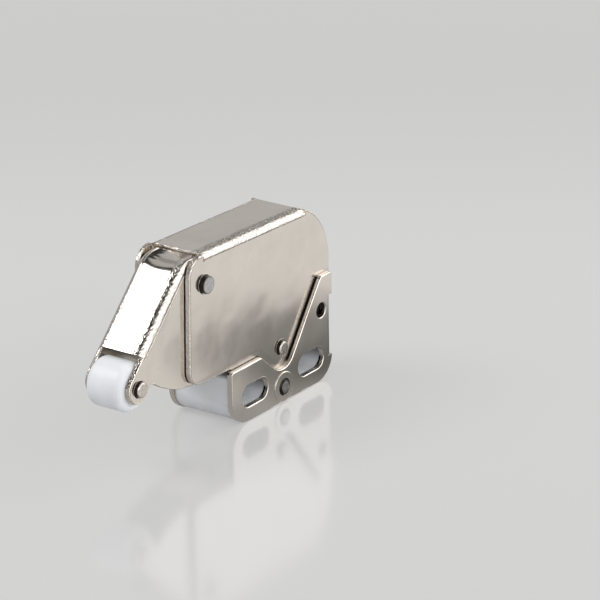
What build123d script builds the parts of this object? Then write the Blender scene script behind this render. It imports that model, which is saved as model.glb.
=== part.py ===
from build123d import *
import os
from math import cos, radians, sin, tan

# Push-to-open roller latch of folded steel sheet, all sizes in millimetres.
# Origin: midway between the two screw slots, on the outer face of the bracket plate that lies on the cabinet.
# +Y goes into the cabinet wall, +X towards the back of the cabinet, +Z up. The latch stands as when laid down.

# Widths over the three nested channels and their sheet
bracket_width = 15.0
bracket_sheet = 1.1
casing_sheet = 1.0
lever_sheet = 1.0
casing_side_gap = 0.05
lever_side_gap = 0.2
roller_end_gap = 0.2
edge_roll = 0.25

# Mounting bracket, seen from the side, from the slots' middle
front_x = -16.3
web_x = 16.4
ear_rear_x = 16.3
foot_z = -5.1
shoulder_z = 6.2
ear_top_z = 16.3
web_low_z = -0.7
web_high_z = 11.8
web_bend_radius = 1.8
foot_corner_radius = 5.0
shoulder_corner_radius = 0.5
notch_mouth_radius = 0.9
ear_corner_radius = 1.2
ear_rear_corner_radius = 0.5
notch_point_x = 0.57
notch_point_z = -0.33
notch_front_angle = 41.7
notch_rear_angle = 54.0
notch_radius = 4.2
slot_spacing = 18.2
slot_length = 8.4
slot_height = 4.4
ear_hole_x = 12.6
ear_hole_z = 9.4
ear_hole_radius = 1.45

# Rivet that the casing rocks on
rivet_x = 0.0
rivet_z = -1.97
rivet_radius = 1.7
rivet_end_radius = 1.1
rivet_proud = 0.35
coin_radius = 3.0
coin_height = 0.18

# Casing, from the rivet, with its top level
casing_tilt = 1.8
rock_range = 3.0
casing_front_x = -27.8
casing_bottom_z = 7.9
casing_top_z = 32.74
casing_rear_x = 16.4
casing_bend_radius = 1.3
casing_web_setback = 4.3
casing_web_rear_x = 8.6
casing_front_top_radius = 3.7
casing_front_bottom_radius = 3.1
casing_back_arc_radius = 13.0
casing_web_end_gap = 0.15
casing_heel_z = 15.9
casing_heel_x = 13.8
casing_heel_height = 6.5
casing_skirt_x = 8.8
casing_skirt_z = 5.0
casing_skirt_step = 1.0
casing_lobe_radius = 2.9
casing_tuck_in = 0.7
casing_tuck = 0.7
casing_tuck_run = 1.2
bend_relief = 0.6

# Pins that the casing carries: the lever's from the casing's front and top, the pawl's from the rivet
lever_pin_setback = 4.54
lever_pin_drop = 5.69
lever_pin_radius = 1.7
lever_pin_proud = 0.97
pawl_pin_x = 0.67
pawl_pin_z = 7.49
pawl_pin_radius = 1.4
pawl_pin_proud = 0.85
pin_edge = 0.2
rounded_end = 0.45

# Lever, from its pin: x runs up along the face, z out of the face
lever_face_angle = 45.4
swing_range = 45.0
face_height = 6.5
face_low_x = -18.4
face_bend_radius = 1.3
curl_x = -1.12
curl_z = 1.7
curl_flat = 1.75
hub_radius = 4.1
ear_radius = 2.9
roller_x = -23.45
roller_z = 3.0
sector_x = 0.73
sector_z = 2.68
sector_radius = 21.75
sector_end_angle = 238.0
neck_radius = 0.9

# Roller and its pin
roller_radius = 4.7
roller_edge = 1.3
roller_pin_radius = 1.5
roller_pin_proud = 0.85

# Catch pin in the lever and the pawl that holds it
catch_pin_radius = 1.25
catch_distance = 17.0
catch_closed_angle = -47.0
pawl_range = 12.0
pawl_sheet = 2.0
pawl_hub_radius = 3.0
pawl_seat_gap = 0.3
pawl_nose_reach = 0.25
pawl_nose_length = 2.5
pawl_arm_depth = 1.45
pawl_tail_length = 6.5
pawl_tail_drop = 0.3
pawl_tail_radius = 1.2

# Springs and spacers
lever_spring_wire = 0.8
lever_spring_turns = 5
lever_spring_gap = 0.3
pawl_spring_wire = 0.6
pawl_spring_turns = 4
pawl_spring_gap = 0.25
coil_pitch_ratio = 1.15
lever_spring_leg = 8.0
casing_leg_rise = 9.9
lever_leg_lean = 18.0
pawl_spring_leg = 6.0
pawl_leg_angle = 182.0
block_leg_angle = 160.0
hook_room = 0.12
spacer_wall = 0.9
spacer_end_gap = 0.1

# Block between the bracket's plates
block_front_x = -15.9
block_rear_x = 14.7
block_foot_z = -5.0
block_top_z = 4.9
block_floor_z = 2.9
block_wall = 1.9
block_corner_radius = 4.8
block_side_gap = 0.05
block_room = 0.4
slot_room = 0.15

# Clearances, on the radius
fixed_fit = 0.02
running_fit = 0.06

# Widths and places worked out from the sizes above
casing_web_front_x = casing_front_x + casing_web_setback
lever_pin_x = casing_front_x + lever_pin_setback
lever_pin_z = casing_top_z - lever_pin_drop
middle_y = -bracket_width / 2
bracket_inner = bracket_width - 2 * bracket_sheet
casing_width = bracket_inner - 2 * casing_side_gap
casing_inner = casing_width - 2 * casing_sheet
lever_width = casing_inner - 2 * lever_side_gap
lever_inner = lever_width - 2 * lever_sheet
roller_length = lever_inner - 2 * roller_end_gap
block_width = bracket_inner - 2 * block_side_gap

# Where each carried frame stands in the latch
on_middle = Pos(0, middle_y, 0)
on_casing = Pos(rivet_x, middle_y, rivet_z) * Rot(0, casing_tilt, 0)
on_casing_pushed = Pos(rivet_x, middle_y, rivet_z) * Rot(0, casing_tilt + rock_range, 0)
on_lever_pin = on_casing * Pos(lever_pin_x, 0, lever_pin_z) * Rot(0, -casing_tilt, 0)
on_lever = on_lever_pin * Rot(0, -lever_face_angle, 0)
on_pawl_pin = on_casing * Pos(pawl_pin_x, 0, pawl_pin_z)


def fold_profile(width, sheet, radius):
    """Section of a channel's web with its two bends, its outer face on the local x axis."""
    outer = Rectangle(width, 2 * radius, align=(Align.CENTER, Align.MAX))
    outer = fillet(outer.vertices().group_by(Axis.Y)[-1], radius)
    hollow = Rectangle(width - 2 * sheet, 2 * radius, align=(Align.CENTER, Align.MAX))
    hollow = Pos(0, -sheet) * fillet(hollow.vertices().group_by(Axis.Y)[-1], radius - sheet)
    kept = Rectangle(width, radius, align=(Align.CENTER, Align.MAX))
    return (outer - hollow) & kept


def side_plate(outline, width, sheet, side):
    """One flat side of a channel. side is -1 for the near plate and 1 for the far one."""
    outer_face = Plane.XZ.offset(-side * width / 2)
    plate = extrude(outer_face * outline, side * sheet)
    rim = plate.faces().sort_by(Axis.Y)[-1 if side > 0 else 0].edges()
    return fillet(rim, edge_roll)


def rod(radius, length, edge=0.0):
    """A round bar along Y, centred on the origin."""
    bar = Rot(90, 0, 0) * Cylinder(radius, length)
    if edge > 0:
        bar = fillet(bar.edges().filter_by(GeomType.CIRCLE), edge)
    return bar


def tube(outer_radius, inner_radius, length):
    """A sleeve along Y, centred on the origin."""
    return rod(outer_radius, length) - rod(inner_radius, length + 1)


def coil_spring(mean_radius, wire, whole_turns, first_leg_angle, last_leg_angle, leg_length):
    """Torsion spring around the Y axis. Angles are those of its straight legs, up from +X."""
    part_turn = ((last_leg_angle - first_leg_angle - 180) / 360) % 1
    height = wire * coil_pitch_ratio * (whole_turns + part_turn)
    helix = Pos(0, 0, -height / 2) * Helix(wire * coil_pitch_ratio, height, mean_radius)
    section = Plane(origin=helix @ 0, z_dir=helix % 0) * Circle(wire / 2)
    spring = sweep(section, path=helix)
    for end, way in ((0, -1), (1, 1)):
        leg_plane = Plane(origin=helix @ end, z_dir=(helix % end) * way)
        spring += extrude(leg_plane * Circle(wire / 2), leg_length)
    return Rot(0, -90 - first_leg_angle, 0) * Rot(90, 0, 0) * spring


def make_bracket():
    """Outer channel, open at the front, folded at the back."""
    notch_rise = ear_top_z - notch_point_z
    ear_front_x = notch_point_x + notch_rise / tan(radians(notch_rear_angle))
    mouth_x = notch_point_x - (shoulder_z - notch_point_z) / tan(radians(notch_front_angle))
    corners = [
        ((front_x, foot_z), foot_corner_radius),
        ((ear_rear_x, foot_z), foot_corner_radius),
        ((ear_rear_x, ear_top_z), ear_rear_corner_radius),
        ((ear_front_x, ear_top_z), ear_corner_radius),
        ((notch_point_x, notch_point_z), notch_radius),
        ((mouth_x, shoulder_z), notch_mouth_radius),
        ((front_x, shoulder_z), shoulder_corner_radius),
    ]
    outline = rounded_outline(corners)
    outline -= slot_pair(0.0)
    outline -= Pos(ear_hole_x, ear_hole_z) * Circle(ear_hole_radius)
    outline -= Pos(rivet_x, rivet_z) * Circle(rivet_radius + fixed_fit)
    plates = [side_plate(outline, bracket_width, bracket_sheet, side) for side in (-1, 1)]
    web_height = web_high_z - web_low_z
    bend_start_x = web_x - web_bend_radius
    room = Pos(bend_start_x, 0, web_low_z) * Box(
        web_bend_radius, bracket_width, web_height, align=(Align.MIN, Align.CENTER, Align.MIN)
    )
    web_plane = Plane(origin=(web_x, 0, web_low_z), x_dir=(0, -1, 0), z_dir=(0, 0, 1))
    web = extrude(web_plane * fold_profile(bracket_width, bracket_sheet, web_bend_radius), web_height)
    near_face = Plane.XZ.offset(bracket_width / 2)
    coin = near_face * (Circle(coin_radius) - Circle(rivet_radius + fixed_fit))
    coin = Pos(rivet_x, 0, rivet_z) * extrude(coin, coin_height)
    coin = fillet(coin.faces().sort_by(Axis.Y)[0].edges().sort_by(SortBy.RADIUS)[-1], coin_height * 0.8)
    bracket = plates[0] + plates[1] - room + web + coin
    return on_middle * bracket


def rounded_outline(corners):
    """A closed outline from corner points, each with the radius that rounds it."""
    outline = make_face(Polyline([point for point, radius in corners], close=True))
    for point, radius in corners:
        if radius > 0:
            vertex = outline.vertices().sort_by_distance((point[0], point[1], 0))[0]
            outline = fillet(vertex, radius)
    return outline


def slot_pair(room):
    """Both screw slots, each larger by room all round."""
    slot = SlotOverall(slot_length + 2 * room, slot_height + 2 * room)
    return Pos(-slot_spacing / 2, 0) * slot + Pos(slot_spacing / 2, 0) * slot


def casing_outline():
    """Side of the casing from the rivet: the plate, its heel over the bracket's web and the rivet lobe."""
    lobe_left = casing_lobe_radius
    tuck_x = front_x - rivet_x + casing_tuck_in
    tuck_z = casing_bottom_z - casing_tuck
    corners = [
        ((casing_front_x, casing_bottom_z), casing_front_bottom_radius),
        ((tuck_x, casing_bottom_z), 0.5),
        ((tuck_x + casing_tuck_run, tuck_z), 0.5),
        ((-casing_skirt_x, tuck_z), 1.5),
        ((-lobe_left, casing_skirt_z), 2.0),
        ((-lobe_left, -casing_lobe_radius), lobe_left * 0.99),
        ((lobe_left, -casing_lobe_radius), lobe_left * 0.99),
        ((lobe_left, casing_skirt_z - casing_skirt_step), 2.0),
        ((casing_heel_x, casing_heel_z - casing_heel_height), 2.0),
        ((casing_heel_x, casing_heel_z), 0.5),
        ((casing_rear_x, casing_heel_z), 1.0),
        ((casing_rear_x, casing_top_z), 0),
        ((casing_front_x, casing_top_z), casing_front_top_radius),
    ]
    arc = Circle(casing_back_arc_radius)
    corner = Rectangle(2 * casing_back_arc_radius, 2 * casing_back_arc_radius, align=(Align.MIN, Align.MIN))
    arc_x = casing_rear_x - casing_back_arc_radius
    arc_end_run = casing_web_rear_x + casing_web_end_gap - arc_x
    arc_place = Pos(arc_x, casing_top_z - (casing_back_arc_radius**2 - arc_end_run**2) ** 0.5)
    return rounded_outline(corners) - arc_place * (corner - arc)


def make_casing():
    """Inverted channel that holds the lever and the pawl, and rocks on the rivet."""
    outline = casing_outline()
    outline -= Circle(rivet_radius + running_fit)
    outline -= Pos(lever_pin_x, lever_pin_z) * Circle(lever_pin_radius + fixed_fit)
    outline -= Pos(pawl_pin_x, pawl_pin_z) * Circle(pawl_pin_radius + fixed_fit)
    plates = [side_plate(outline, casing_width, casing_sheet, side) for side in (-1, 1)]
    web_length = casing_web_rear_x - casing_web_front_x
    bend_low_z = casing_top_z - casing_bend_radius
    room = Pos(casing_web_front_x, 0, bend_low_z) * Box(
        web_length, casing_width, casing_bend_radius, align=(Align.MIN, Align.CENTER, Align.MIN)
    )
    web_plane = Plane(origin=(casing_web_front_x, 0, casing_top_z), x_dir=(0, 1, 0), z_dir=(1, 0, 0))
    web = extrude(web_plane * fold_profile(casing_width, casing_sheet, casing_bend_radius), web_length)
    casing = plates[0] + plates[1] - room + web
    for side in (-1, 1):
        notch = Pos(casing_web_front_x, side * casing_width / 2, casing_top_z - casing_sheet / 2)
        casing -= notch * Box(bend_relief, 2 * casing_bend_radius, casing_sheet * 1.6)
    return on_casing * casing


def lever_outline():
    """Side of the lever from its pin: hub, sector that runs inside the casing, neck and roller ear."""
    fold_z = face_height - face_bend_radius
    ear_front_z = roller_z + ear_radius
    ear_rear_z = roller_z - ear_radius
    neck_x = sector_x - (sector_radius**2 - (sector_z - ear_rear_z) ** 2) ** 0.5
    curl_radius = face_height - curl_z - face_bend_radius
    flat_x, flat_z = curl_flat_start(curl_radius)
    lean = radians(lever_face_angle)
    flat_end = (flat_x + curl_flat * cos(lean), flat_z - curl_flat * sin(lean))
    sector_end = (
        sector_x + sector_radius * cos(radians(sector_end_angle)),
        sector_z + sector_radius * sin(radians(sector_end_angle)),
    )
    neck_angle = 180 + degrees_of(sector_z - ear_rear_z, sector_x - neck_x)
    hub_rear = (hub_radius * cos(radians(-35)), hub_radius * sin(radians(-35)))
    edge = [
        Line((face_low_x, ear_front_z), (face_low_x, fold_z)),
        Line((face_low_x, fold_z), (curl_x, fold_z)),
        CenterArc((curl_x, curl_z), curl_radius, 90, -lever_face_angle),
        Line((flat_x, flat_z), flat_end),
        Line(flat_end, hub_rear),
        Line(hub_rear, sector_end),
        CenterArc((sector_x, sector_z), sector_radius, sector_end_angle, neck_angle - sector_end_angle),
        Line((neck_x, ear_rear_z), (roller_x, ear_rear_z)),
        CenterArc((roller_x, roller_z), ear_radius, 270, -180),
        Line((roller_x, ear_front_z), (face_low_x, ear_front_z)),
    ]
    outline = make_face(edge)
    neck = outline.vertices().sort_by_distance((neck_x, ear_rear_z, 0))[0]
    outline = fillet(neck, neck_radius)
    corner = outline.vertices().sort_by_distance((sector_end[0], sector_end[1], 0))[0]
    outline = fillet(corner, neck_radius)
    return outline + Circle(hub_radius)


def degrees_of(rise, run):
    """Angle of a slope, in degrees."""
    return Vector(1, 0).get_angle(Vector(run, rise))


def curl_flat_start(radius):
    """Where the curl has turned level, at that radius from its middle, in the lever's frame."""
    lean = radians(lever_face_angle)
    return curl_x + radius * sin(lean), curl_z + radius * cos(lean)


def catch_place():
    """Place of the catch pin in the lever's frame, from where the pawl holds it when closed."""
    angle = radians(catch_closed_angle - swing_range - lever_face_angle)
    return catch_distance * cos(angle), catch_distance * sin(angle)


def make_lever():
    """Channel with a sloping face, curled over at its top, and two ears for the roller."""
    outline = lever_outline()
    catch_x, catch_z = catch_place()
    outline -= Circle(lever_pin_radius + running_fit)
    outline -= Pos(roller_x, roller_z) * Circle(roller_pin_radius + fixed_fit)
    outline -= Pos(catch_x, catch_z) * Circle(catch_pin_radius + fixed_fit)
    plates = [side_plate(outline, lever_width, lever_sheet, side) for side in (-1, 1)]
    profile = fold_profile(lever_width, lever_sheet, face_bend_radius)
    face_plane = Plane(origin=(face_low_x, 0, face_height), x_dir=(0, 1, 0), z_dir=(1, 0, 0))
    face = extrude(face_plane * profile, curl_x - face_low_x)
    curl_plane = Plane(origin=(curl_x, 0, face_height), x_dir=(0, 1, 0), z_dir=(1, 0, 0))
    curl = revolve(curl_plane * profile, Axis((curl_x, 0, curl_z), (0, 1, 0)), lever_face_angle)
    flat_x, flat_z = curl_flat_start(face_height - curl_z)
    lean = radians(lever_face_angle)
    flat_plane = Plane(origin=(flat_x, 0, flat_z), x_dir=(0, 1, 0), z_dir=(cos(lean), 0, -sin(lean)))
    flat = extrude(flat_plane * profile, curl_flat)
    return on_lever * (plates[0] + plates[1] + face + curl + flat)


def make_block():
    """Moulded block that spaces the plates, with its sides cut back where the casing's plates move."""
    rim = [
        ((block_front_x, block_foot_z), block_corner_radius),
        ((block_rear_x, block_foot_z), block_corner_radius),
        ((block_rear_x, block_floor_z), 0.8),
        ((block_front_x, block_floor_z), 0.3),
    ]
    body = extrude(Plane.XZ * rounded_outline(rim), block_width / 2, both=True)
    front_wall = Pos(block_front_x, 0, 0) * Box(
        block_wall, block_width, block_top_z, align=(Align.MIN, Align.CENTER, Align.MIN)
    )
    block = on_middle * (body + fillet(front_wall.edges().filter_by(Axis.Y).group_by(Axis.Z)[-1], 0.6))
    slots = on_middle * extrude(Plane.XZ * slot_pair(slot_room), block_width, both=True)
    bore = Pos(rivet_x, middle_y, rivet_z) * rod(rivet_radius + fixed_fit, 2 * block_width)
    block = block - slots - bore
    swept = offset(casing_outline(), block_room)
    for side in (-1, 1):
        side_face = Plane.XZ.offset(-side * (casing_width / 2 + casing_side_gap))
        cutter = extrude(side_face * swept, side * (casing_sheet + casing_side_gap + block_room))
        for place in (on_casing, on_casing_pushed):
            block -= place * cutter
    hub_room = rod(pawl_hub_radius + 2 * block_room, block_width + 1)
    for place in (on_casing, on_casing_pushed):
        block -= place * Pos(pawl_pin_x, 0, pawl_pin_z) * hub_room
    return block


def make_pivot_rivet():
    """Solid rivet through bracket, casing and block, flush with the mounting face."""
    shank_length = bracket_width + rivet_proud + coin_height
    shank = rod(rivet_radius, shank_length)
    near_rim = shank.edges().filter_by(GeomType.CIRCLE).sort_by(Axis.Y)[0]
    shank = chamfer(near_rim, rivet_radius - rivet_end_radius)
    return Pos(rivet_x, -shank_length / 2, rivet_z) * shank


def pawl_point(distance, angle):
    """A point by its distance and angle from the lever's pin, seen from the pawl pin in the casing's frame."""
    way = radians(angle + casing_tilt)
    from_pin_x = lever_pin_x + distance * cos(way) - pawl_pin_x
    from_pin_z = lever_pin_z + distance * sin(way) - pawl_pin_z
    return from_pin_x, from_pin_z


def make_pawl():
    """Stamped hook on the pawl pin, drawn holding the catch pin and then turned to its resting place."""
    seat_radius = catch_pin_radius + pawl_seat_gap
    seat_depth = catch_distance + seat_radius
    under_seat = seat_depth + pawl_arm_depth
    nose_top = catch_distance - pawl_nose_reach
    seat_turn = degrees_of(seat_radius, catch_distance)
    nose_turn = degrees_of(seat_radius + pawl_nose_length, catch_distance)
    outline = [
        pawl_point(nose_top, catch_closed_angle - seat_turn),
        pawl_point(seat_depth, catch_closed_angle - seat_turn),
        pawl_point(seat_depth, catch_closed_angle + seat_turn),
        (-0.2 * pawl_hub_radius, 0.97 * pawl_hub_radius),
        (-0.2 * pawl_hub_radius, -0.97 * pawl_hub_radius),
        pawl_point(under_seat, catch_closed_angle - seat_turn),
        pawl_point(under_seat, catch_closed_angle - nose_turn),
        pawl_point(nose_top + pawl_nose_reach, catch_closed_angle - nose_turn),
    ]
    arm = make_face(Polyline(outline, close=True))
    tail_end = Pos(pawl_tail_length, -pawl_tail_drop)
    tail = make_hull([*Circle(1.6 * pawl_tail_radius).edges(), *(tail_end * Circle(pawl_tail_radius)).edges()])
    catch_x, catch_z = pawl_point(catch_distance, catch_closed_angle)
    hook = arm + Circle(pawl_hub_radius) + tail
    hook -= Pos(catch_x, catch_z) * Circle(seat_radius)
    hook -= Circle(pawl_pin_radius + running_fit)
    plate = extrude(Plane.XZ * hook, pawl_sheet / 2, both=True)
    hook_x, hook_z = pawl_spring_hook()
    hook_hole = Pos(hook_x, 0, hook_z) * rod(pawl_spring_wire / 2 + hook_room, 2 * pawl_sheet)
    return on_pawl_pin * (Rot(0, -pawl_range, 0) * plate - hook_hole)


def pawl_coil_radius():
    """Mean radius of the coil around the far spacer."""
    return pawl_pin_radius + running_fit + spacer_wall + pawl_spring_gap + pawl_spring_wire / 2


def pawl_spring_hook():
    """Where the spring's bent end goes through the pawl, from the pawl pin."""
    start = radians(pawl_leg_angle - 90)
    way = radians(pawl_leg_angle)
    radius = pawl_coil_radius()
    return radius * cos(start) + pawl_spring_leg * cos(way), radius * sin(start) + pawl_spring_leg * sin(way)


def make_pawl_spring():
    """Coil over the far spacer, with one leg on the block and one hooked through the pawl."""
    coil_y = casing_inner / 4 + pawl_sheet / 4
    coil = coil_spring(
        pawl_coil_radius(), pawl_spring_wire, pawl_spring_turns, block_leg_angle, pawl_leg_angle, pawl_spring_leg
    )
    hook_x, hook_z = pawl_spring_hook()
    hook_end = -pawl_sheet / 2 - 0.3
    hook_length = coil_y - hook_end - coil.bounding_box().size.Y / 2 + pawl_spring_wire / 2
    bent_end = Pos(hook_x, hook_end + hook_length / 2, hook_z) * rod(pawl_spring_wire / 2, hook_length)
    elbow = Pos(hook_x, hook_end + hook_length, hook_z) * Sphere(pawl_spring_wire * 0.56)
    return on_pawl_pin * (Pos(0, coil_y, 0) * coil + bent_end + elbow)


def make_lever_spring():
    """Coil on the lever's pin, with one leg under the casing's top and one behind the lever's face."""
    radius = lever_pin_radius + lever_spring_gap + lever_spring_wire / 2
    face_leg_angle = 180 + lever_face_angle - lever_leg_lean
    return on_lever_pin * coil_spring(
        radius, lever_spring_wire, lever_spring_turns, casing_leg_rise, face_leg_angle, lever_spring_leg
    )


def make_parts():
    """Every piece of the latch in its resting place, by name."""
    catch_x, catch_z = catch_place()
    roller_solid = rod(roller_radius, roller_length, roller_edge)
    roller_solid -= rod(roller_pin_radius + running_fit, 2 * roller_length)
    spacer_length = (casing_inner - pawl_sheet) / 2 - 2 * spacer_end_gap
    spacer_y = pawl_sheet / 2 + spacer_end_gap + spacer_length / 2
    spacer = tube(pawl_pin_radius + running_fit + spacer_wall, pawl_pin_radius + running_fit, spacer_length)
    return {
        "mounting_bracket": make_bracket(),
        "cam_block": make_block(),
        "pivot_rivet": make_pivot_rivet(),
        "casing": make_casing(),
        "lever_pivot_pin": on_lever_pin * rod(lever_pin_radius, casing_width + 2 * lever_pin_proud, pin_edge),
        "pawl_pin": on_pawl_pin * rod(pawl_pin_radius, casing_width + 2 * pawl_pin_proud, rounded_end),
        "lever_spring": make_lever_spring(),
        "pawl_spring": make_pawl_spring(),
        "pawl_spacer_near": on_pawl_pin * Pos(0, -spacer_y, 0) * spacer,
        "pawl_spacer_far": on_pawl_pin * Pos(0, spacer_y, 0) * spacer,
        "pawl": make_pawl(),
        "lever": make_lever(),
        "catch_pin": on_lever * Pos(catch_x, 0, catch_z) * rod(catch_pin_radius, lever_width),
        "roller_pin": on_lever
        * Pos(roller_x, 0, roller_z)
        * rod(roller_pin_radius, lever_width + 2 * roller_pin_proud, rounded_end),
        "roller": on_lever * Pos(roller_x, 0, roller_z) * roller_solid,
    }


os.makedirs("parts", exist_ok=True)
for name, piece in make_parts().items():
    export_step(piece, f"parts/{name}.step")
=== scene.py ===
import math

import bmesh
import bpy
from mathutils import Matrix, Vector


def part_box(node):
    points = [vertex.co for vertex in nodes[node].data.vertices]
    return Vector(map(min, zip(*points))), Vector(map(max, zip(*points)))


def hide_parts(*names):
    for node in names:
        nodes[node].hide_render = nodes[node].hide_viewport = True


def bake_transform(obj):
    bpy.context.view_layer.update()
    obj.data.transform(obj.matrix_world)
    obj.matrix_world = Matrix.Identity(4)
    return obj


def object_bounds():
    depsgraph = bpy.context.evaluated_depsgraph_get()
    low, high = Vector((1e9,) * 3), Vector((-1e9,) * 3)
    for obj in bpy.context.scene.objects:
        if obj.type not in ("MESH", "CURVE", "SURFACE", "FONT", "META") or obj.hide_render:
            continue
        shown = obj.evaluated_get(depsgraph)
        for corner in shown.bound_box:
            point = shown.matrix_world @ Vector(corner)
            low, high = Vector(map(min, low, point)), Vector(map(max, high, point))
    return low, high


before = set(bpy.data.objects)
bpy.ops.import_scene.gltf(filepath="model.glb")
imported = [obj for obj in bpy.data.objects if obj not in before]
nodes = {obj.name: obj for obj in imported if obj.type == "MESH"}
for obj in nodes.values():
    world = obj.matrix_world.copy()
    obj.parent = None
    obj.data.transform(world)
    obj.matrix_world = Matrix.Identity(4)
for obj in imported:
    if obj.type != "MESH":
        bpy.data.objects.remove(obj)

cad_low, cad_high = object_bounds()

# Camera
# The photograph looks down on the near side plate and the roller from the front left.
# Its place and lens were worked out from the bracket's slots, the pins and the casing's corners.
camera_data = bpy.data.cameras.new("camera")
camera_data.sensor_width = 36.0
camera_data.lens = 208.94
camera_data.clip_start = 0.01
camera_data.clip_end = 20.0
camera = bpy.data.objects.new("camera", camera_data)
bpy.context.scene.collection.objects.link(camera)
right = Vector((0.57751, -0.81627, -0.01366)).normalized()
up = Vector((0.30392, 0.19944, 0.93159)).normalized()
back = right.cross(up)
turn = Matrix((right, up, back)).transposed()
camera.matrix_world = Matrix.Translation((-0.49410, -0.37262, 0.25340)) @ turn.to_4x4()
bpy.context.scene.camera = camera
bpy.context.scene.view_settings.view_transform = "Standard"

# Floor and backdrop
# One pale, glossy sheet of acrylic that curves up behind the latch and mirrors it faintly.
# For reflections it glows brighter, a painted glow, and a painted shadow darkens it close in front of the
# latch.


def add_node(tree, kind, inputs=None, **settings):
    node = tree.nodes.new(kind)
    for key, value in settings.items():
        setattr(node, key, value)
    for key, value in (inputs or {}).items():
        if isinstance(value, bpy.types.NodeSocket):
            tree.links.new(value, node.inputs[key])
        else:
            node.inputs[key].default_value = value
    return node


def maths(tree, operation, *values):
    return add_node(tree, "ShaderNodeMath", dict(enumerate(values)), operation=operation).outputs[0]


def ramp(tree, factor, stops):
    node = add_node(tree, "ShaderNodeValToRGB", {0: factor})
    elements = node.color_ramp.elements
    while len(elements) < len(stops):
        elements.new(0.5)
    for element, (place, colour) in zip(elements, stops):
        element.position = place
        element.color = (*colour, 1.0)
    return node.outputs[0]


def step_between(tree, value, low, high, from_value=0.0, to_value=1.0):
    inputs = {"Value": value, "From Min": low, "From Max": high, "To Min": from_value, "To Max": to_value}
    return add_node(tree, "ShaderNodeMapRange", inputs, interpolation_type="SMOOTHSTEP").outputs[0]


def new_material(name):
    material = bpy.data.materials.new(name)
    material.use_nodes = True
    tree = material.node_tree
    tree.nodes.clear()
    shader = tree.nodes.new("ShaderNodeBsdfPrincipled")
    output = tree.nodes.new("ShaderNodeOutputMaterial")
    tree.links.new(shader.outputs[0], output.inputs[0])
    return material, tree, shader


floor_z = cad_low[2]
profile = [(-2.5, floor_z)]
for step in range(13):
    angle = math.radians(90 * step / 12)
    profile.append((1.2 + 0.3 * math.sin(angle), floor_z + 0.3 * (1 - math.cos(angle))))
profile.append((1.5, floor_z + 0.8))
vertices = []
for along, z in profile:
    for across in (-1.0, 1.0):
        half = 3.0 if z < floor_z + 0.001 else 0.9
        vertices.append((along * 0.813 - across * half * 0.582, along * 0.582 + across * half * 0.813, z))
faces = [(2 * i, 2 * i + 2, 2 * i + 3, 2 * i + 1) for i in range(len(profile) - 1)]
floor_mesh = bpy.data.meshes.new("floor")
floor_mesh.from_pydata(vertices, [], faces)
for polygon in floor_mesh.polygons:
    polygon.use_smooth = True
floor = bpy.data.objects.new("floor", floor_mesh)
bpy.context.scene.collection.objects.link(floor)
floor_material, tree, shader = new_material("floor_acrylic")
light_path = tree.nodes.new("ShaderNodeLightPath")
place = add_node(tree, "ShaderNodeTexCoord")
where = add_node(tree, "ShaderNodeSeparateXYZ", {0: place.outputs["Object"]})
forward = maths(tree, "MULTIPLY", where.outputs[1], -1.0)
centred = add_node(
    tree, "ShaderNodeMapping", {"Vector": place.outputs["Object"], "Location": (-0.027, 0.029, 0.0)}
)
scaled = add_node(tree, "ShaderNodeMapping", {"Vector": centred.outputs[0], "Scale": (34.0, 46.0, 0.0)})
reach = add_node(tree, "ShaderNodeVectorMath", {0: scaled.outputs[0]}, operation="LENGTH")
# Painted glow and painted shadow, seen only by reflections: bright far out, dark in a patch in front of
# and right of the latch, and darker within about 2 cm of its near side.
glossy_glow_painted_shadow = step_between(tree, reach.outputs["Value"], 0.45, 1.2, 0.28, 0.86)
glossy_glow_painted_shadow = maths(tree, "MULTIPLY", glossy_glow_painted_shadow, step_between(tree, forward, 0.018, 0.034, 0.47, 1.0))
behind = step_between(tree, where.outputs[2], floor_z + 0.01, floor_z + 0.2)
glossy_glow_painted_shadow = add_node(tree, "ShaderNodeMix", {0: behind, 2: glossy_glow_painted_shadow, 3: 0.56}).outputs[0]
seen = light_path.outputs["Is Camera Ray"]
mirrored = light_path.outputs["Is Glossy Ray"]
beyond = maths(tree, "MULTIPLY_ADD", where.outputs[1], 0.7, where.outputs[0])
pale = step_between(tree, beyond, 0.05, 0.25, 0.37, 0.30)
glow = maths(tree, "MULTIPLY_ADD", seen, pale, maths(tree, "MULTIPLY", mirrored, glossy_glow_painted_shadow))
plain = maths(tree, "MULTIPLY_ADD", mirrored, -0.58, maths(tree, "MULTIPLY_ADD", seen, -0.38, 0.60))
tree.links.new(plain, shader.inputs["Base Color"])
tree.links.new(maths(tree, "MULTIPLY_ADD", mirrored, -0.4, 0.4), shader.inputs["Specular IOR Level"])
shader.inputs["Roughness"].default_value = 0.13
shader.inputs["Emission Color"].default_value = (1.0, 1.0, 0.99, 1.0)
tree.links.new(glow, shader.inputs["Emission Strength"])
floor_mesh.materials.append(floor_material)

# Lights
# A key box for the lever's face, three soft panels in front and one at the side for the folds and
# cut edges, and an even, white room. Five dark flags, which only reflections see, keep the flats
# of the metal from washing out.


def area_light(name, azimuth, elevation, distance, size, radiance):
    way = Vector(
        (
            math.cos(math.radians(azimuth)) * math.cos(math.radians(elevation)),
            math.sin(math.radians(azimuth)) * math.cos(math.radians(elevation)),
            math.sin(math.radians(elevation)),
        )
    )
    data = bpy.data.lights.new(name, "AREA")
    data.shape = "RECTANGLE"
    data.size, data.size_y = size
    data.energy = math.pi * size[0] * size[1] * radiance
    lamp = bpy.data.objects.new(name, data)
    bpy.context.scene.collection.objects.link(lamp)
    turned = (-way).to_track_quat("-Z", "Y").to_matrix().to_4x4()
    lamp.matrix_world = Matrix.Translation(way * distance) @ turned
    lamp.visible_camera = False
    return lamp


area_light("key_box", 127, 46, 1.35, (0.62, 0.66), 6.0)
for azimuth in (-122, -77, -32):
    area_light(f"front_panel_{-azimuth}", azimuth, 21, 1.2, (0.98, 0.85), 1.45)
area_light("side_panel", -17, 43, 1.25, (0.62, 0.4), 1.45)

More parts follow.
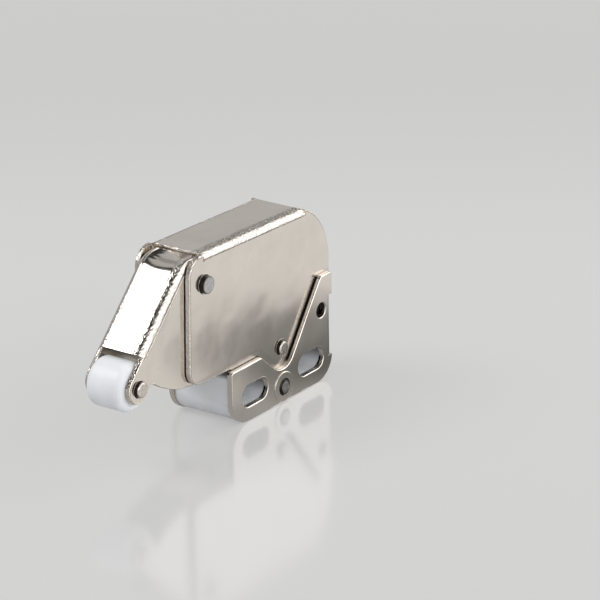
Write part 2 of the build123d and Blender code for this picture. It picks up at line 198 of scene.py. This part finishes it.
flag_material, tree, shader = new_material("flag_cloth")
shader.inputs["Base Color"].default_value = (0.02, 0.02, 0.02, 1.0)
shader.inputs["Roughness"].default_value = 0.9
flag_radius = 1.7


def dark_flag(name, azimuths, elevations):
    columns = 8
    rows = 4
    flag_vertices = []
    flag_faces = []
    for row in range(rows + 1):
        for column in range(columns + 1):
            azimuth = math.radians(azimuths[0] + (azimuths[1] - azimuths[0]) * column / columns)
            elevation = math.radians(elevations[0] + (elevations[1] - elevations[0]) * row / rows)
            level = flag_radius * math.cos(elevation)
            flag_vertices.append(
                (level * math.cos(azimuth), level * math.sin(azimuth), flag_radius * math.sin(elevation))
            )
    for row in range(rows):
        for column in range(columns):
            corner = row * (columns + 1) + column
            flag_faces.append((corner, corner + 1, corner + columns + 2, corner + columns + 1))
    mesh = bpy.data.meshes.new(name)
    mesh.from_pydata(flag_vertices, [], flag_faces)
    mesh.materials.append(flag_material)
    flag = bpy.data.objects.new(name, mesh)
    bpy.context.scene.collection.objects.link(flag)
    flag.visible_camera = False
    flag.visible_diffuse = False
    flag.visible_shadow = False


dark_flag("flag_right", (5, 36), (31, 78))
dark_flag("flag_top", (36, 230), (58, 80))
dark_flag("flag_beside_key", (74, 107), (30, 64))
dark_flag("flag_left", (148, 215), (20, 58))
dark_flag("flag_front_left", (215, 262), (43, 58))

world = bpy.data.worlds.new("room")
bpy.context.scene.world = world
world.use_nodes = True
tree = world.node_tree
room = tree.nodes["Background"]
light_path = tree.nodes.new("ShaderNodeLightPath")
room.inputs[0].default_value = (1.0, 1.0, 1.0, 1.0)
lift = maths(tree, "MULTIPLY_ADD", light_path.outputs["Is Camera Ray"], 0.07, 0.55)
tree.links.new(lift, room.inputs[1])

# Mounting bracket
# Channel of 1.1 mm sheet, folded and screwed to the cabinet. Bright nickel over rolled steel, wavy
# on the flats, with an orange peel that grows coarse at folds. Cut edges are torn and a little darker. On
# the bracket the inner part of the sloping cut edges is painted near black, a painted shadow of the gap
# to the casing.
nickel_group = bpy.data.node_groups.new("nickel_plating", "ShaderNodeTree")
for socket_name in (
    "Half width",
    "Sheet",
    "Fold zone",
    "Flat peel",
    "Bend peel",
    "Pressed",
    "Painted shade",
    "Rubbed",
    "Gap shadow",
):
    nickel_group.interface.new_socket(socket_name, in_out="INPUT", socket_type="NodeSocketFloat")
for socket_name, socket_type in (
    ("Color", "NodeSocketColor"),
    ("Roughness", "NodeSocketFloat"),
    ("Normal", "NodeSocketVector"),
):
    nickel_group.interface.new_socket(socket_name, in_out="OUTPUT", socket_type=socket_type)
group_in = nickel_group.nodes.new("NodeGroupInput")
group_out = nickel_group.nodes.new("NodeGroupOutput")
place = add_node(nickel_group, "ShaderNodeTexCoord")
where = add_node(nickel_group, "ShaderNodeSeparateXYZ", {0: place.outputs["Object"]})
facing = add_node(nickel_group, "ShaderNodeSeparateXYZ", {0: place.outputs["Normal"]})
side_share = maths(nickel_group, "ABSOLUTE", facing.outputs[1])
bend = ramp(
    nickel_group,
    side_share,
    [(0.0, (0, 0, 0)), (0.03, (0, 0, 0)), (0.15, (1, 1, 1)), (0.95, (1, 1, 1)), (0.998, (0, 0, 0))],
)
from_middle = maths(nickel_group, "ABSOLUTE", maths(nickel_group, "ADD", where.outputs[1], 0.0075))
depth = maths(nickel_group, "SUBTRACT", group_in.outputs["Half width"], from_middle)
depth = maths(nickel_group, "DIVIDE", depth, group_in.outputs["Sheet"])
is_edge = maths(nickel_group, "LESS_THAN", side_share, 0.2)
is_sheet = maths(nickel_group, "LESS_THAN", depth, 1.02)
cut = maths(nickel_group, "MULTIPLY", is_edge, is_sheet)
to_side = maths(nickel_group, "SUBTRACT", group_in.outputs["Half width"], from_middle)
near_fold = maths(nickel_group, "SUBTRACT", group_in.outputs["Fold zone"], to_side)
near_fold = maths(nickel_group, "MAXIMUM", near_fold, 0.0)
on_top = maths(nickel_group, "LESS_THAN", side_share, 0.6)
crumple = maths(nickel_group, "MULTIPLY", step_between(nickel_group, near_fold, 0.0, 0.0006), on_top)
rolled_over = maths(nickel_group, "MINIMUM", near_fold, 0.0009)
fall = maths(nickel_group, "MULTIPLY", rolled_over, -0.5)
fall = maths(nickel_group, "ADD", near_fold, fall)
fall = maths(nickel_group, "MULTIPLY", fall, rolled_over)
fall = maths(nickel_group, "MULTIPLY_ADD", fall, -330.0, group_in.outputs["Pressed"])
coarse = add_node(
    nickel_group,
    "ShaderNodeTexNoise",
    {"Vector": place.outputs["Object"], "Scale": 2100.0, "Detail": 2.0, "Roughness": 0.55},
)
smudge = add_node(
    nickel_group,
    "ShaderNodeTexNoise",
    {"Vector": place.outputs["Object"], "Scale": 140.0, "Detail": 3.0, "Roughness": 0.55},
)
pits = add_node(nickel_group, "ShaderNodeTexVoronoi", {"Vector": place.outputs["Object"], "Scale": 520.0})
pit = step_between(nickel_group, pits.outputs["Distance"], 0.05, 0.11, 1.0, 0.0)
rolled = add_node(
    nickel_group,
    "ShaderNodeMapping",
    {"Vector": place.outputs["Object"], "Scale": (2400.0, 2400.0, 150.0)},
)
streak = add_node(
    nickel_group,
    "ShaderNodeTexNoise",
    {"Vector": rolled.outputs[0], "Scale": 1.0, "Detail": 2.0, "Roughness": 0.5},
)
torn_place = maths(
    nickel_group, "ADD", depth, maths(nickel_group, "MULTIPLY_ADD", coarse.outputs[0], 0.5, -0.25)
)
torn = step_between(nickel_group, torn_place, 0.42, 0.62)
# Painted shadow: darkens the inner part of sloping cut edges, standing in for the shade in the gap
# between the bracket and the casing.
gap_shade = step_between(nickel_group, depth, 0.56, 0.70)
sloping = step_between(nickel_group, facing.outputs[2], 0.9, 0.8)
not_upright = step_between(nickel_group, facing.outputs[2], 0.05, 0.25)
sloping = maths(nickel_group, "MULTIPLY", sloping, not_upright)
sloping = maths(nickel_group, "MULTIPLY", sloping, cut)
torn = maths(nickel_group, "MULTIPLY", torn, sloping)
gap_shade = maths(nickel_group, "MULTIPLY", gap_shade, sloping)
tint = ramp(nickel_group, smudge.outputs[0], [(0.3, (0.66, 0.605, 0.545)), (0.7, (0.72, 0.668, 0.61))])
shade = maths(nickel_group, "MULTIPLY_ADD", torn, -0.05, 1.0)
gap_shade = maths(nickel_group, "MULTIPLY", gap_shade, group_in.outputs["Gap shadow"])
shade = maths(nickel_group, "SUBTRACT", shade, gap_shade)
shade = maths(nickel_group, "MULTIPLY_ADD", pit, -0.12, shade)
shade = maths(nickel_group, "MULTIPLY", shade, group_in.outputs["Painted shade"])
colour = add_node(nickel_group, "ShaderNodeVectorMath", {0: tint, 1: shade}, operation="MULTIPLY")
gloss = step_between(nickel_group, smudge.outputs[0], 0.3, 0.7, 0.13, 0.21)
gloss = maths(nickel_group, "MULTIPLY_ADD", maths(nickel_group, "MAXIMUM", bend, crumple), -0.08, gloss)
gloss = maths(nickel_group, "MULTIPLY_ADD", cut, 0.05, gloss)
gloss = maths(nickel_group, "MULTIPLY_ADD", torn, 0.12, gloss)
gloss = maths(nickel_group, "MULTIPLY_ADD", group_in.outputs["Rubbed"], 0.16, gloss)
rough_share = maths(nickel_group, "MAXIMUM", maths(nickel_group, "MAXIMUM", bend, cut), crumple)
peel = add_node(
    nickel_group,
    "ShaderNodeMapRange",
    {
        "Value": rough_share,
        "To Min": group_in.outputs["Flat peel"],
        "To Max": group_in.outputs["Bend peel"],
    },
)
height = maths(nickel_group, "MULTIPLY_ADD", streak.outputs[0], 0.35, coarse.outputs[0])
height = maths(nickel_group, "MULTIPLY_ADD", height, peel.outputs[0], fall)
waves = add_node(
    nickel_group,
    "ShaderNodeTexNoise",
    {"Vector": place.outputs["Object"], "Scale": 130.0, "Detail": 1.0, "Roughness": 0.5},
)
wave = maths(nickel_group, "MULTIPLY_ADD", waves.outputs[0], 0.0002, -0.0001)
flat_share = maths(nickel_group, "SUBTRACT", 1.0, rough_share)
height = maths(nickel_group, "MULTIPLY_ADD", wave, flat_share, height)
dent = add_node(nickel_group, "ShaderNodeBump", {"Strength": 1.0, "Distance": 1.0, "Height": height})
nickel_group.links.new(colour.outputs[0], group_out.inputs["Color"])
nickel_group.links.new(gloss, group_out.inputs["Roughness"])
nickel_group.links.new(dent.outputs[0], group_out.inputs["Normal"])


def nickel_material(name, half_width, sheet, fold_zone, bend_peel, gap_shadow=0.0):
    material, tree, shader = new_material(name)
    plating = add_node(tree, "ShaderNodeGroup", node_tree=nickel_group)
    plating.inputs["Half width"].default_value = half_width
    plating.inputs["Sheet"].default_value = sheet
    plating.inputs["Fold zone"].default_value = fold_zone
    plating.inputs["Flat peel"].default_value = 0.000002
    plating.inputs["Bend peel"].default_value = bend_peel
    plating.inputs["Pressed"].default_value = 0.0
    plating.inputs["Painted shade"].default_value = 1.0
    plating.inputs["Rubbed"].default_value = 0.0
    plating.inputs["Gap shadow"].default_value = gap_shadow
    shader.inputs["Metallic"].default_value = 1.0
    for socket_name in ("Roughness", "Normal"):
        tree.links.new(plating.outputs[socket_name], shader.inputs[socket_name])
    tree.links.new(plating.outputs["Color"], shader.inputs["Base Color"])
    return material, tree, plating


def dress(node, material):
    mesh = nodes[node].data
    mesh.materials.clear()
    mesh.materials.append(material)


bracket_half_width = 0.0075
bracket_sheet = 0.0011
# The bracket's sloping cut edges get a painted shadow of the gap to the casing.
bracket_material, tree, plating = nickel_material(
    "nickel_bracket", bracket_half_width, bracket_sheet, 0.0, 0.00003, gap_shadow=0.93
)
dress("mounting_bracket", bracket_material)

# Casing
# Inverted channel of 1 mm plated steel that rocks on the rivet. Its near fold is crumpled, and its
# top has a burr in front. It is rubbed dull along the bracket's edge, and there and where it shows
# through the ear hole it is darkened by painted shade.
casing_half_width = 0.00635
casing_sheet = 0.001
crumpled_width = 0.0033
casing_material, tree, plating = nickel_material(
    "nickel_casing", casing_half_width, casing_sheet, crumpled_width, 0.0002
)
place = add_node(tree, "ShaderNodeTexCoord")
where = add_node(tree, "ShaderNodeSeparateXYZ", {0: place.outputs["Object"]})
grain = add_node(
    tree,
    "ShaderNodeTexNoise",
    {"Vector": place.outputs["Object"], "Scale": 1900.0, "Detail": 2.0, "Roughness": 0.6},
)
zone = step_between(tree, where.outputs[1], -0.0085, -0.0065, crumpled_width, 0.0)
tree.links.new(zone, plating.inputs["Fold zone"])
web_front_x = -0.02246
burr_least = 0.0001
burr_spread = 0.0003
shorn = maths(tree, "MULTIPLY_ADD", grain.outputs[0], -burr_spread, -web_front_x - burr_least)
shorn = maths(tree, "ADD", shorn, where.outputs[0])
shorn = maths(tree, "MAXIMUM", maths(tree, "MINIMUM", shorn, 0.0), -burr_least - burr_spread)
shorn = maths(tree, "MULTIPLY", shorn, step_between(tree, where.outputs[2], 0.0312, 0.0313, 0.0, 0.8))
tree.links.new(shorn, plating.inputs["Pressed"])
ear_hole_x = 0.0126
ear_hole_z = 0.0094
hole = add_node(
    tree,
    "ShaderNodeMapping",
    {"Vector": place.outputs["Object"], "Location": (-ear_hole_x, 0.0, -ear_hole_z)},
)
hole = add_node(tree, "ShaderNodeMapping", {"Vector": hole.outputs[0], "Scale": (1.0, 0.0, 1.0)})
reach = add_node(tree, "ShaderNodeVectorMath", {0: hole.outputs[0]}, operation="LENGTH")
# Painted shade: the casing plate seen through the bracket's ear hole is darkened.
painted_gap_and_hole_shade = step_between(tree, reach.outputs["Value"], 0.0012, 0.0019, 0.16, 1.0)


def distance_to_line(tree, where, x, z, normal_x, normal_z):
    offset = -(normal_x * x + normal_z * z)
    part = maths(tree, "MULTIPLY_ADD", where.outputs[0], normal_x, offset)
    return maths(tree, "MULTIPLY_ADD", where.outputs[2], normal_z, part)


notch_point = (0.00057, -0.00033)
shoulder_z = 0.0062
ear_top_z = 0.0152
to_ear = distance_to_line(tree, where, *notch_point, -0.809, 0.588)
to_notch = distance_to_line(tree, where, *notch_point, 0.665, 0.747)
to_shoulder = distance_to_line(tree, where, 0.0, shoulder_z, 0.0, 1.0)
to_ear_top = distance_to_line(tree, where, 0.0, ear_top_z, 0.0, 1.0)
gap = maths(tree, "MAXIMUM", to_notch, to_shoulder)
gap = maths(tree, "MINIMUM", gap, maths(tree, "MAXIMUM", to_ear, to_ear_top))
tree.links.new(step_between(tree, gap, 0.0016, 0.0006), plating.inputs["Rubbed"])
# Painted shadow along the gap beside the bracket's edge, darkest right at the edge.
painted_gap_and_hole_shade = maths(tree, "MULTIPLY", painted_gap_and_hole_shade, step_between(tree, gap, 0.00005, 0.0003, 0.2, 1.0))
painted_gap_and_hole_shade = maths(tree, "MULTIPLY", painted_gap_and_hole_shade, step_between(tree, gap, 0.0004, 0.0018, 0.72, 1.0))
tree.links.new(painted_gap_and_hole_shade, plating.inputs["Painted shade"])
dress("casing", casing_material)

# Lever
# Channel of 1 mm plated steel that carries the roller. Its face was pressed hollow towards the
# curl at its top, and both folds are crumpled.
lever_half_width = 0.00515
lever_sheet = 0.001
lever_material, tree, plating = nickel_material(
    "nickel_lever", lever_half_width, lever_sheet, 0.0018, 0.00016
)
place = add_node(tree, "ShaderNodeTexCoord")
where = add_node(tree, "ShaderNodeSeparateXYZ", {0: place.outputs["Object"]})
face_way_x = 0.702
face_way_z = 0.712
hollow_start = 0.0224 * face_way_x - 0.0258 * face_way_z + 0.0024
along = maths(tree, "MULTIPLY_ADD", where.outputs[0], face_way_x, hollow_start)
along = maths(tree, "MULTIPLY_ADD", where.outputs[2], face_way_z, along)
along = maths(tree, "MINIMUM", maths(tree, "MAXIMUM", along, 0.0), 0.0033)
zone = step_between(tree, where.outputs[1], -0.0085, -0.0065, 0.0023, 0.0018)
tree.links.new(zone, plating.inputs["Fold zone"])
across = maths(tree, "MULTIPLY_ADD", where.outputs[1], 222.0, 0.0075 * 222.0)
hollow = maths(tree, "SUBTRACT", 1.0, maths(tree, "MULTIPLY", across, across))
hollow = maths(tree, "MAXIMUM", hollow, 0.0)
hollow = maths(tree, "MULTIPLY", maths(tree, "MULTIPLY", along, along), hollow)
tree.links.new(maths(tree, "MULTIPLY", hollow, -104.0), plating.inputs["Pressed"])
dress("lever", lever_material)

# Turned pins, pawl and spring wire
# Pins and the rivet are bar stock, cut off: a side painted near black as painted shade, and a lighter end
# with turning rings round each pin's own axis, which is taken from its place in the frame. The rivet and
# the lever's pin also get a dark ring round the end, painted shade. Pawl and wire are plain steel.


def pin_material(name, node, end_tone, ring_tone, side_tone, roughness, ring_from, ring_to):
    low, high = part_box(node)
    middle = [(a + b) / 2 for a, b in zip(low, high)]
    material, tree, shader = new_material(name)
    place = add_node(tree, "ShaderNodeTexCoord")
    centred = add_node(
        tree, "ShaderNodeMapping", {"Vector": place.outputs["Object"], "Location": [-v for v in middle]}
    )
    parts = add_node(tree, "ShaderNodeSeparateXYZ", {0: centred.outputs[0]})
    from_axis = maths(
        tree,
        "SQRT",
        maths(
            tree,
            "ADD",
            maths(tree, "MULTIPLY", parts.outputs[0], parts.outputs[0]),
            maths(tree, "MULTIPLY", parts.outputs[2], parts.outputs[2]),
        ),
    )
    facing = add_node(tree, "ShaderNodeSeparateXYZ", {0: place.outputs["Normal"]})
    is_end = step_between(tree, maths(tree, "ABSOLUTE", facing.outputs[1]), 0.25, 0.6)
    in_ring = step_between(tree, from_axis, ring_from, ring_to)
    rings = add_node(
        tree,
        "ShaderNodeTexWave",
        {"Vector": centred.outputs[0], "Scale": 900.0, "Distortion": 1.5, "Detail": 2.0},
        wave_type="RINGS",
        rings_direction="Y",
    )
    grime = add_node(
        tree, "ShaderNodeTexNoise", {"Vector": centred.outputs[0], "Scale": 1500.0, "Detail": 4.0}
    )
    end_colour = add_node(
        tree,
        "ShaderNodeMix",
        {0: in_ring, 6: (*end_tone, 1.0), 7: (*ring_tone, 1.0)},
        data_type="RGBA",
    )
    dirt = step_between(tree, grime.outputs[0], 0.3, 0.7, 0.75, 1.1)
    bright = add_node(
        tree, "ShaderNodeVectorMath", {0: end_colour.outputs[2], 1: dirt}, operation="MULTIPLY"
    )
    colour = add_node(
        tree,
        "ShaderNodeMix",
        {0: is_end, 6: (*side_tone, 1.0), 7: bright.outputs[0]},
        data_type="RGBA",
    )
    matte = step_between(tree, grime.outputs[0], 0.3, 0.7, roughness - 0.08, roughness + 0.1)
    height = maths(tree, "MULTIPLY_ADD", rings.outputs[1], 0.4, grime.outputs[0])
    groove = add_node(tree, "ShaderNodeBump", {"Strength": 0.35, "Distance": 0.00005, "Height": height})
    shader.inputs["Metallic"].default_value = 1.0
    tree.links.new(colour.outputs[2], shader.inputs["Base Color"])
    tree.links.new(matte, shader.inputs["Roughness"])
    tree.links.new(groove.outputs[0], shader.inputs["Normal"])
    return material


# Painted shade: near black pin sides and dark end rings stand in for their shade and dark reflections.
painted_shade_side = (0.035, 0.028, 0.022)
grey_end = (0.5, 0.49, 0.48)
nickel_end = (0.62, 0.575, 0.525)
steel = (0.42, 0.41, 0.4)
rivet_end = (0.34, 0.33, 0.33)
painted_shade_ring = (0.12, 0.115, 0.11)
steel_side = (0.3, 0.29, 0.28)
dress(
    "pivot_rivet",
    pin_material("rivet_steel", "pivot_rivet", rivet_end, painted_shade_side, painted_shade_side, 0.42, 0.00105, 0.0012),
)
dress(
    "lever_pivot_pin",
    pin_material("pin_steel", "lever_pivot_pin", grey_end, painted_shade_ring, painted_shade_side, 0.38, 0.0014, 0.0016),
)
for name, name_start, end_tone, side_tone, roughness in (
    ("pawl_pin", "plated_", nickel_end, painted_shade_side, 0.25),
    ("roller_pin", "plated_", nickel_end, painted_shade_side, 0.25),
    ("catch_pin", "steel_", steel, steel_side, 0.32),
    ("pawl", "steel_", steel, steel_side, 0.32),
    ("lever_spring", "steel_", steel, steel_side, 0.32),
    ("pawl_spring", "steel_", steel, steel_side, 0.32),
):
    material = pin_material(
        name_start + name, name, end_tone, end_tone, side_tone, roughness, 0.0012, 0.0014
    )
    dress(name, material)

# Springs
# Wound from spring wire round the lever's pin and the pawl's pin, with a straight leg at each end.
for name, body, wire, coil_length in (
    ("lever_spring", "arm", 0.0008, 0.00465),
    ("pawl_spring", "hook", 0.0006, 0.00315),
):
    wound = bmesh.new()
    wound.from_mesh(nodes[name].data)
    bmesh.ops.remove_doubles(wound, verts=wound.verts, dist=0.000001)
    wound.verts.index_update()
    vertices = [tuple(vertex.co) for vertex in wound.verts]
    faces = [[vertex.index for vertex in face.verts] for face in wound.faces]
    wound.free()
    mesh = bpy.data.meshes.new("wound_" + name)
    mesh.from_pydata(vertices, [], faces)
    for polygon in mesh.polygons:
        polygon.use_smooth = True
    mesh.materials.append(nodes[name].data.materials[0])
    spring = bpy.data.objects.new("wound_" + name, mesh)
    bpy.context.scene.collection.objects.link(spring)
    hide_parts(name)
    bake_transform(spring)

# Moulded nylon
# The roller, the block between the bracket's plates and the pawl's spacers: white with a trace of
# blue, a fine moulded grain, and some light let through. The block's slots are painted darker inside,
# towards their top, as painted shade.


def nylon_material(name, tone, slot_half_height=0.0):
    material, tree, shader = new_material(name)
    place = add_node(tree, "ShaderNodeTexCoord")
    grain = add_node(
        tree, "ShaderNodeTexNoise", {"Vector": place.outputs["Object"], "Scale": 2200.0, "Detail": 3.0}
    )
    cloud = add_node(
        tree, "ShaderNodeTexNoise", {"Vector": place.outputs["Object"], "Scale": 180.0, "Detail": 2.0}
    )
    darker = tuple(v * 0.95 for v in tone)
    colour = ramp(tree, cloud.outputs[0], [(0.35, darker), (0.65, tone)])
    matte = step_between(tree, cloud.outputs[0], 0.0, 1.0, 0.38, 0.52)
    pit = add_node(
        tree, "ShaderNodeBump", {"Strength": 0.12, "Distance": 0.00002, "Height": grain.outputs[0]}
    )
    if slot_half_height:
        where = add_node(tree, "ShaderNodeSeparateXYZ", {0: place.outputs["Object"]})
        from_centre = maths(tree, "ABSOLUTE", where.outputs[0])
        beside = maths(tree, "ABSOLUTE", maths(tree, "SUBTRACT", from_centre, 0.0091))
        in_length = maths(tree, "LESS_THAN", beside, 0.0044)
        from_axis = maths(tree, "ABSOLUTE", where.outputs[2])
        in_height = maths(tree, "LESS_THAN", from_axis, slot_half_height + 0.0001)
        in_slot = maths(tree, "MULTIPLY", in_length, in_height)
        # Painted shade: the slot walls darken towards their top.
        shaded = step_between(tree, where.outputs[2], -slot_half_height, 0.0008, 0.0, -0.7)
        shaded = maths(tree, "MULTIPLY_ADD", in_slot, shaded, 1.0)
        colour = add_node(
            tree, "ShaderNodeVectorMath", {0: colour, 1: shaded}, operation="MULTIPLY"
        ).outputs[0]
    tree.links.new(colour, shader.inputs["Base Color"])
    tree.links.new(matte, shader.inputs["Roughness"])
    tree.links.new(pit.outputs[0], shader.inputs["Normal"])
    shader.inputs["Subsurface Weight"].default_value = 0.25
    shader.inputs["Subsurface Radius"].default_value = (0.0012, 0.0012, 0.0014)
    shader.inputs["Subsurface Scale"].default_value = 1.0
    return material


nylon_white = (0.80, 0.815, 0.84)
for name in ("roller", "pawl_spacer_near", "pawl_spacer_far"):
    dress(name, nylon_material("nylon_" + name, nylon_white))
dress("cam_block", nylon_material("nylon_cam_block", nylon_white, slot_half_height=0.0022))
